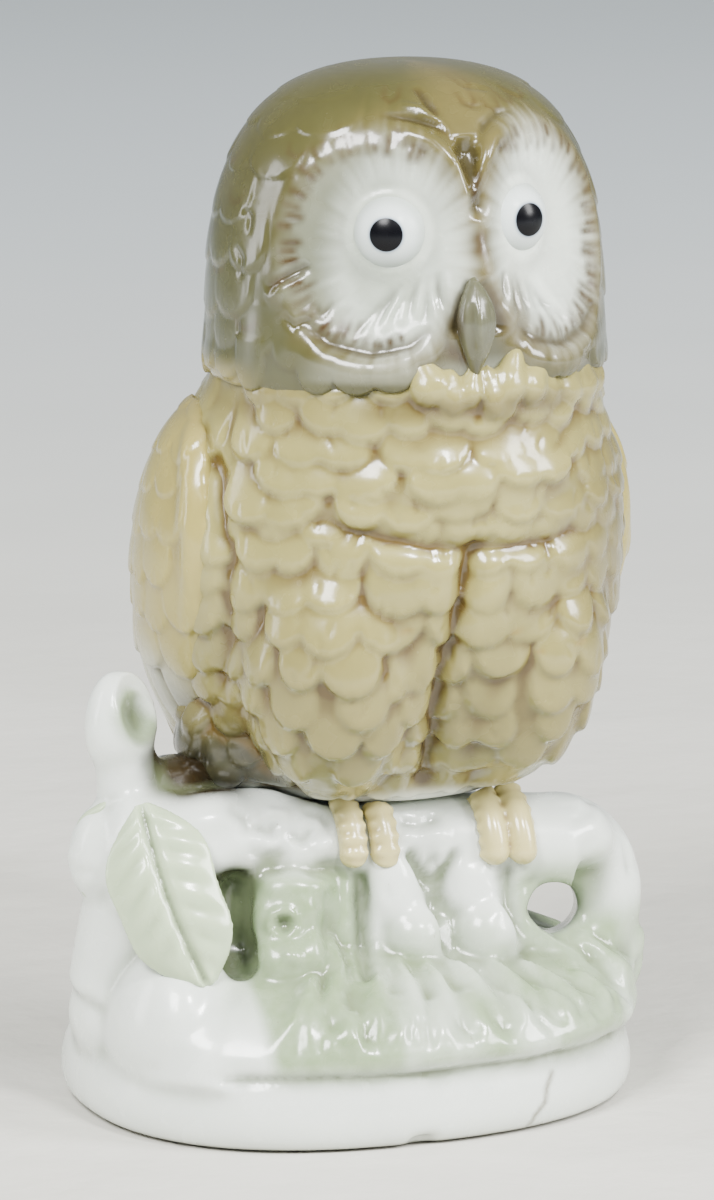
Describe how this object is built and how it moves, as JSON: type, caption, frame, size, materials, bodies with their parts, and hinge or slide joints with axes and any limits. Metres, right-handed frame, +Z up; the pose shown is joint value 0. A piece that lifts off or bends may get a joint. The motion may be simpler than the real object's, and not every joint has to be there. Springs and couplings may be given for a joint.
{
  "type": "owl figurine",
  "caption": "Glazed porcelain owl perched on a knotted log with leaves, a cut twig and an arching root, above a grassy mound on a low oval plinth",
  "frame": {"origin": "centre of the bounding box's foot, on the plane the plinth rests on", "axes": "+Z up, the owl's breast looks along -Y, +X is the owl's own left"},
  "size_m": [0.1036, 0.0854, 0.181],
  "materials": {
    "white_glaze": "gloss",
    "green_glaze": "gloss",
    "leaf_glaze": "gloss",
    "feather_glaze": "gloss",
    "head_glaze": "gloss",
    "wing_glaze": "gloss",
    "tail_glaze": "gloss",
    "toe_glaze": "gloss",
    "beak_glaze": "gloss",
    "eye_glaze": "gloss"
  },
  "bodies": {
    "root": {"plinth": "white_glaze", "ground": "green_glaze", "stump": "green_glaze", "perch_log": "white_glaze", "root_arch": "white_glaze", "left_root": "white_glaze", "cut_twig": "white_glaze", "large_leaf": "leaf_glaze", "small_leaf": "leaf_glaze", "body_shell": "feather_glaze", "head_shell": "head_glaze", "right_wing": "wing_glaze", "left_wing": "wing_glaze", "tail": "tail_glaze", "right_toes": "toe_glaze", "left_toes": "toe_glaze", "beak": "beak_glaze", "right_eye": "eye_glaze", "left_eye": "eye_glaze"}
  },
  "joints": []
}
